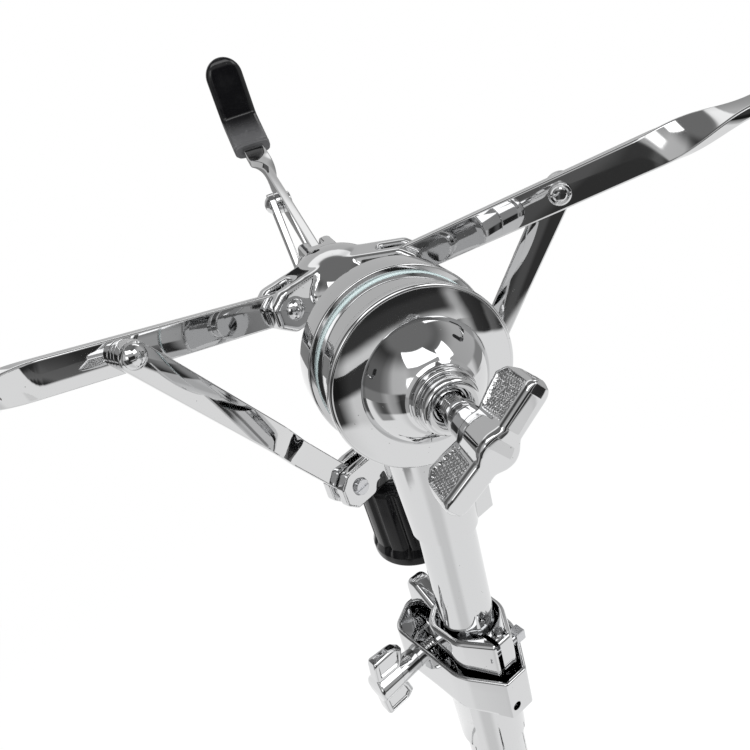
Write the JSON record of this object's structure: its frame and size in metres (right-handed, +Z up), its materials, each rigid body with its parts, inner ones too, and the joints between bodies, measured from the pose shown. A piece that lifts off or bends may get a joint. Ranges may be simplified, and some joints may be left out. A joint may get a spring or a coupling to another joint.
{
  "type": "snare drum stand",
  "caption": "Folding chrome snare drum stand: braced tripod, clamped height tube with memory lock, disc tilter with wing bolt, and a swivelling basket whose hinged arms carry rubber boots.",
  "frame": {"origin": "on the floor under the axis of the tubes", "axes": "+Z up along the tubes, -Y towards the tilter wing bolt (front), +X to the right seen from the front"},
  "size_m": [0.4636, 0.5384, 0.6664],
  "materials": {
    "chrome": "polished chrome plate",
    "steel": "bright zinc-plated steel",
    "rubber": "smooth moulded rubber",
    "black_plastic": "moulded black plastic",
    "nylon": "natural nylon",
    "friction_pad": "pale translucent friction ring"
  },
  "bodies": {
    "base": {"lower_tube": "chrome", "tube_end_cap": "black_plastic", "tube_bushing": "nylon", "height_clamp": "chrome", "clamp_nut": "steel", "brace_collar": "chrome", "brace_collar_pins": "steel"},
    "mast": {"upper_tube": "chrome", "memory_lock": "chrome", "memory_lock_screw": "steel", "tilter_front_disc": "chrome", "socket_pin": "steel", "neck_ring": "chrome"},
    "clamp_wing": {"clamp_wing_bolt": "chrome"},
    "tilter_wing": {"tilter_wing_bolt": "chrome"},
    "tilter": {"friction_pad": "friction_pad", "tilter_rear_disc": "chrome", "shaft_bushing": "nylon"},
    "basket": {"basket_hub": "chrome", "basket_shaft": "steel", "hub_pivot_rivets": "steel"},
    "collar": {"lower_collar": "chrome", "collar_screws": "steel", "thrust_washer": "steel"},
    "nut": {"basket_nut": "black_plastic", "nut_insert": "steel"},
    "leg_collar": {"leg_collar": "chrome", "leg_top_pins": "steel"},
    "collar_wing": {"leg_collar_screw": "chrome"},
    "arm_1": {"basket_arm_1": "chrome", "arm_boot_1": "rubber", "link_rivet_1": "steel"},
    "link_1": {"arm_link_1": "chrome"},
    "brace_1": {"brace_1": "chrome"},
    "leg_1": {"leg_1": "chrome", "foot_1": "rubber", "brace_pin_1": "steel"},
    "arm_2": {"basket_arm_2": "chrome", "arm_boot_2": "rubber", "link_rivet_2": "steel"},
    "link_2": {"arm_link_2": "chrome"},
    "brace_2": {"brace_2": "chrome"},
    "leg_2": {"leg_2": "chrome", "foot_2": "rubber", "brace_pin_2": "steel"},
    "arm_3": {"basket_arm_3": "chrome", "arm_boot_3": "rubber", "link_rivet_3": "steel"},
    "link_3": {"arm_link_3": "chrome"},
    "brace_3": {"brace_3": "chrome"},
    "leg_3": {"leg_3": "chrome", "foot_3": "rubber", "brace_pin_3": "steel"}
  },
  "joints": [
    {"name": "height_slide", "type": "slide", "parent": "base", "child": "mast", "axis": [0, 0, 1], "range_m": [0, 0.09]},
    {"name": "clamp_wing_spin", "type": "hinge", "parent": "base", "child": "clamp_wing", "pos_m": [-0.00556, 0.01712, 0.419], "axis": [-0.9511, -0.309, 0], "continuous": true},
    {"name": "tilter_wing_spin", "type": "hinge", "parent": "mast", "child": "tilter_wing", "pos_m": [0, -0.05, 0.56], "axis": [0, -1, 0], "continuous": true},
    {"name": "tilt", "type": "hinge", "parent": "mast", "child": "tilter", "pos_m": [0, 0, 0.56], "axis": [0, 1, 0], "range_deg": [-45, 45]},
    {"name": "basket_swivel", "type": "hinge", "parent": "tilter", "child": "basket", "pos_m": [-0.00046, 0.075, 0.57099], "axis": [-0.0419, 0, 0.9991], "range_deg": [-20, 20]},
    {"name": "arm_1_pivot", "type": "hinge", "parent": "basket", "child": "arm_1", "pos_m": [0.00095, 0.10397, 0.57105], "axis": [0.9979, -0.0488, 0.0418], "range_deg": [-6, 30]},
    {"name": "link_1_pivot", "type": "hinge", "parent": "arm_1", "child": "link_1", "pos_m": [0.00348, 0.16944, 0.58727], "axis": [0.9979, -0.0488, 0.0418], "range_deg": [-22.5, 5]},
    {"name": "arm_2_pivot", "type": "hinge", "parent": "basket", "child": "arm_2", "pos_m": [-0.02623, 0.06174, 0.56991], "axis": [-0.4567, 0.8894, -0.0191], "range_deg": [-6, 30]},
    {"name": "link_2_pivot", "type": "hinge", "parent": "arm_2", "child": "link_2", "pos_m": [-0.08516, 0.03178, 0.58356], "axis": [-0.4567, 0.8894, -0.0191], "range_deg": [-22.5, 5]},
    {"name": "arm_3_pivot", "type": "hinge", "parent": "basket", "child": "arm_3", "pos_m": [0.02389, 0.05929, 0.57201], "axis": [-0.5412, -0.8406, -0.0227], "range_deg": [-6, 30]},
    {"name": "link_3_pivot", "type": "hinge", "parent": "arm_3", "child": "link_3", "pos_m": [0.07827, 0.02378, 0.59041], "axis": [-0.5412, -0.8406, -0.0227], "range_deg": [-22.5, 5]},
    {"name": "collar_slide", "type": "slide", "parent": "basket", "child": "collar", "axis": [-0.0419, 0, 0.9991], "range_m": [-0.0048, 0.0232]},
    {"name": "nut_spin", "type": "hinge", "parent": "collar", "child": "nut", "pos_m": [0.00329, 0.075, 0.48157], "axis": [-0.0419, 0, 0.9991], "continuous": true},
    {"name": "brace_1_pivot", "type": "hinge", "parent": "base", "child": "brace_1", "pos_m": [0, -0.027, 0.045], "axis": [-1, 0, 0], "range_deg": [0, 42]},
    {"name": "leg_1_pivot", "type": "hinge", "parent": "brace_1", "child": "leg_1", "pos_m": [0, -0.11618, 0.1253], "axis": [-1, 0, 0], "range_deg": [-84.5, 0]},
    {"name": "leg_collar_pivot", "type": "hinge", "parent": "leg_1", "child": "leg_collar", "pos_m": [0, -0.027, 0.20559], "axis": [-1, 0, 0], "range_deg": [0, 42.5]},
    {"name": "brace_2_pivot", "type": "hinge", "parent": "base", "child": "brace_2", "pos_m": [0.02338, 0.0135, 0.045], "axis": [0.5, -0.866, 0], "range_deg": [0, 42]},
    {"name": "leg_2_pivot", "type": "hinge", "parent": "brace_2", "child": "leg_2", "pos_m": [0.10061, 0.05809, 0.1253], "axis": [0.5, -0.866, 0], "range_deg": [-84.5, 0]},
    {"name": "brace_3_pivot", "type": "hinge", "parent": "base", "child": "brace_3", "pos_m": [-0.02338, 0.0135, 0.045], "axis": [0.5, 0.866, 0], "range_deg": [0, 42]},
    {"name": "leg_3_pivot", "type": "hinge", "parent": "brace_3", "child": "leg_3", "pos_m": [-0.10061, 0.05809, 0.1253], "axis": [0.5, 0.866, 0], "range_deg": [-84.5, 0]},
    {"name": "collar_wing_spin", "type": "hinge", "parent": "leg_collar", "child": "collar_wing", "pos_m": [-0.02598, -0.015, 0.20559], "axis": [-0.866, -0.5, 0], "continuous": true}
  ],
  "couplings": [
    {"joint": "link_1_pivot", "follows": "arm_1_pivot", "ratio": -0.7346},
    {"joint": "arm_2_pivot", "follows": "arm_1_pivot", "ratio": 1},
    {"joint": "link_2_pivot", "follows": "arm_1_pivot", "ratio": -0.7346},
    {"joint": "arm_3_pivot", "follows": "arm_1_pivot", "ratio": 1},
    {"joint": "link_3_pivot", "follows": "arm_1_pivot", "ratio": -0.7346},
    {"joint": "collar_slide", "follows": "arm_1_pivot", "m_per_rad": 0.043821},
    {"joint": "leg_1_pivot", "follows": "brace_1_pivot", "ratio": -2},
    {"joint": "leg_collar_pivot", "follows": "brace_1_pivot", "ratio": 1},
    {"joint": "brace_2_pivot", "follows": "brace_1_pivot", "ratio": 1},
    {"joint": "leg_2_pivot", "follows": "brace_1_pivot", "ratio": -2},
    {"joint": "brace_3_pivot", "follows": "brace_1_pivot", "ratio": 1},
    {"joint": "leg_3_pivot", "follows": "brace_1_pivot", "ratio": -2}
  ]
}
